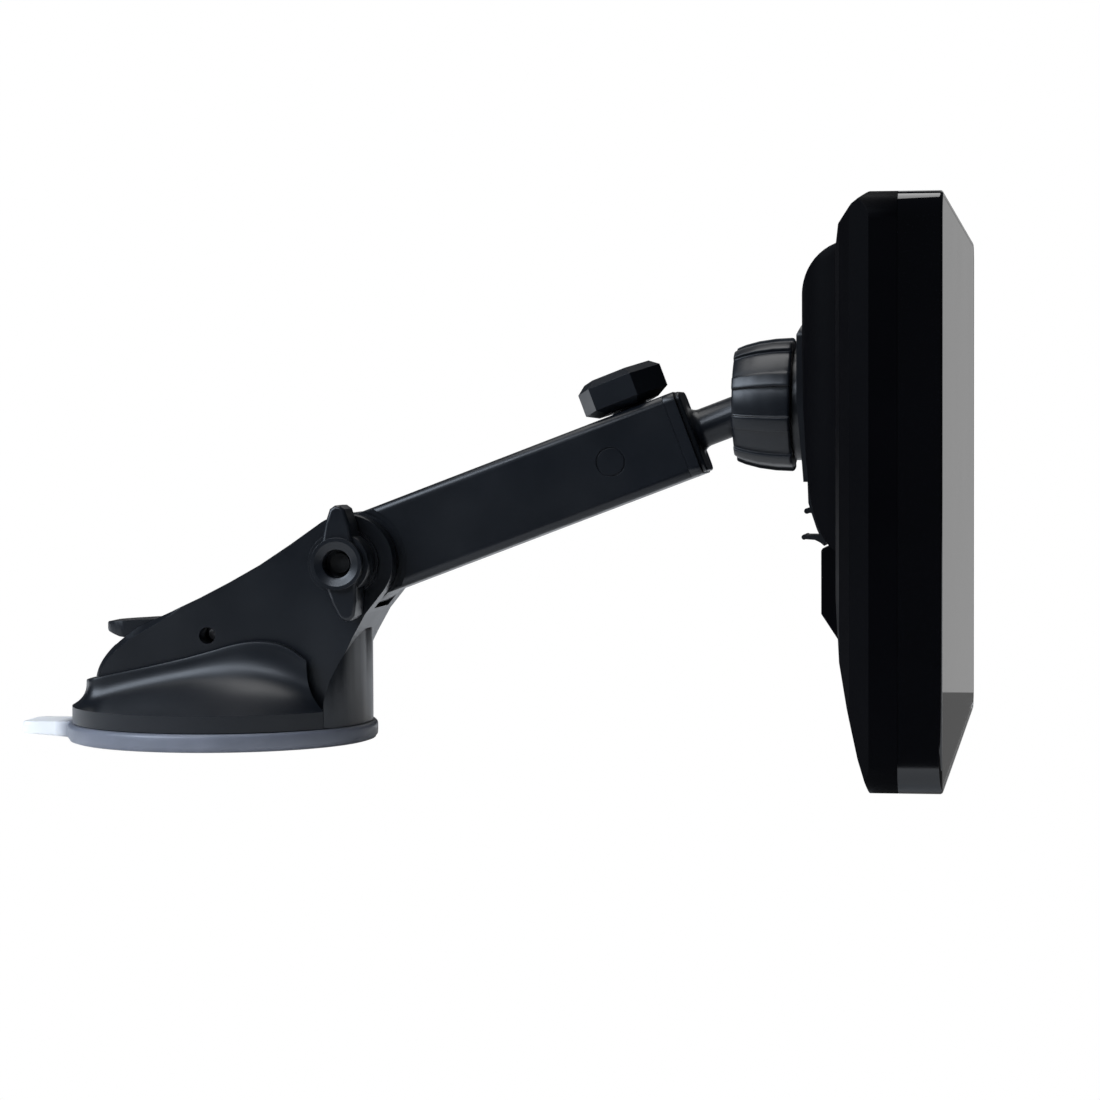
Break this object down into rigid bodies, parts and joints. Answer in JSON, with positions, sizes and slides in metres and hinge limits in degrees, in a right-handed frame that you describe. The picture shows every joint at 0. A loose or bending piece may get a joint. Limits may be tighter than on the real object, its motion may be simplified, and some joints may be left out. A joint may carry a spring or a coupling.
{
  "type": "portable gps navigator",
  "caption": "Portable car navigation display on a lever-locked suction mount with a tilting telescopic arm, ball head and screw collar.",
  "frame": {"origin": "centre of the suction pad face, on the surface that it grips", "axes": "+Z out of the gripped surface, +X from the suction base towards the display, whose screen faces +X; ports on the +Y side"},
  "size_m": [0.2415, 0.22, 0.131],
  "materials": {
    "gel": "translucent satin gel",
    "membrane": "matte",
    "satin_plastic": "satin, fine moulded texture",
    "dark_plastic": "satin",
    "shell_plastic": "matte, fine moulded texture",
    "gloss_frame": "high gloss",
    "nylon": "satin",
    "screen_glass": "polished",
    "steel": "satin",
    "black_steel": "black oxide",
    "brass": "plain",
    "lcd": "satin",
    "white_tray": "matte",
    "circuit_board": "satin",
    "cell_foil": "satin",
    "ceramic": "matte",
    "foam": "matte"
  },
  "bodies": {
    "base": {"suction_pad": "gel", "suction_membrane": "membrane", "base_housing": "satin_plastic", "base_skirt": "satin_plastic", "clamp_bolt": "black_steel"},
    "cup_stem": {"cup_stem": "nylon", "lever_pin": "steel"},
    "lever": {"lock_lever": "satin_plastic"},
    "clamp_washer": {"clamp_washer": "dark_plastic"},
    "wing_nut": {"wing_nut": "satin_plastic"},
    "arm": {"arm_tube": "satin_plastic", "arm_end_collar": "satin_plastic", "knob_nut": "brass"},
    "extension": {"inner_rod": "satin_plastic", "ball_stem": "satin_plastic", "stem_screw": "steel"},
    "knob_pad": {"knob_pad": "steel"},
    "knob": {"thumb_knob": "satin_plastic", "knob_screw": "steel"},
    "ball_sleeve": {"ball_sleeve": "nylon"},
    "clamp_rings": {"front_clamp_ring": "nylon", "rear_seat_ring": "nylon"},
    "bracket": {"mount_bracket": "dark_plastic"},
    "collar_nut": {"collar_nut": "satin_plastic"},
    "release_tab": {"release_tab": "dark_plastic"},
    "display": {"rear_shell": "shell_plastic", "front_frame": "gloss_frame", "front_glass": "screen_glass", "screen_gasket": "foam", "lcd_panel": "lcd", "backlight_frame": "white_tray", "main_board": "circuit_board", "board_shields": "steel", "board_screws": "steel", "battery": "cell_foil", "speaker": "dark_plastic", "gps_antenna": "ceramic", "usb_socket": "steel", "card_socket": "steel", "audio_jack": "dark_plastic", "case_screws": "black_steel"},
    "power_button": {"power_button": "dark_plastic"}
  },
  "joints": [
    {"name": "stem_drop", "type": "slide", "parent": "base", "child": "cup_stem", "axis": [0, 0, 1], "range_m": [-0.003, 0], "deforming": ["suction_membrane"]},
    {"name": "lever_lift", "type": "hinge", "parent": "cup_stem", "child": "lever", "pos_m": [0, 0, 0.0275], "axis": [0, 1, 0], "range_deg": [0, 50.1]},
    {"name": "clamp_slide", "type": "slide", "parent": "base", "child": "clamp_washer", "axis": [0, -1, 0], "range_m": [0, 0.0012]},
    {"name": "wing_nut_turn", "type": "hinge", "parent": "clamp_washer", "child": "wing_nut", "pos_m": [0.0363, 0, 0.0463], "axis": [0, -1, 0], "range_deg": [0, 541]},
    {"name": "arm_tilt", "type": "hinge", "parent": "base", "child": "arm", "pos_m": [0.0363, 0, 0.0463], "axis": [0, -1, 0], "range_deg": [-12, 60]},
    {"name": "arm_extend", "type": "slide", "parent": "arm", "child": "extension", "axis": [0.9361, 0, 0.3518], "range_m": [0, 0.05]},
    {"name": "pad_lift", "type": "slide", "parent": "arm", "child": "knob_pad", "axis": [-0.3518, 0, 0.9361], "range_m": [0, 0.0006]},
    {"name": "knob_turn", "type": "hinge", "parent": "knob_pad", "child": "knob", "pos_m": [0.1103, 0, 0.07411], "axis": [-0.3518, 0, 0.9361], "range_deg": [0, 271]},
    {"name": "ball_swivel", "type": "hinge", "parent": "extension", "child": "ball_sleeve", "pos_m": [0.14058, 0, 0.0855], "axis": [0, 0, 1], "range_deg": [-22, 22]},
    {"name": "ball_tilt", "type": "hinge", "parent": "ball_sleeve", "child": "clamp_rings", "pos_m": [0.14058, 0, 0.0855], "axis": [0, -1, 0], "range_deg": [-4, 45]},
    {"name": "ball_roll", "type": "hinge", "parent": "clamp_rings", "child": "bracket", "pos_m": [0.14058, 0, 0.0855], "axis": [1, 0, 0], "continuous": true},
    {"name": "collar_nut_turn", "type": "hinge", "parent": "bracket", "child": "collar_nut", "pos_m": [0.14058, 0, 0.0855], "axis": [1, 0, 0], "range_deg": [-60, 0]},
    {"name": "release_tab_press", "type": "hinge", "parent": "bracket", "child": "release_tab", "pos_m": [0.1526, 0, 0.0654], "axis": [0, 1, 0], "range_deg": [0, 8], "stiffness_Nm_per_rad": 0.6},
    {"name": "device_release", "type": "slide", "parent": "bracket", "child": "display", "axis": [0, 0, 1], "range_m": [0, 0.04]},
    {"name": "power_button_press", "type": "slide", "parent": "display", "child": "power_button", "axis": [0, -1, 0], "range_m": [0, 0.0007], "stiffness_N_per_m": 800}
  ],
  "couplings": [
    {"joint": "lever_lift", "follows": "stem_drop", "rad_per_m": -290.89},
    {"joint": "wing_nut_turn", "follows": "clamp_slide", "rad_per_m": 7854},
    {"joint": "knob_turn", "follows": "pad_lift", "rad_per_m": 7854}
  ]
}
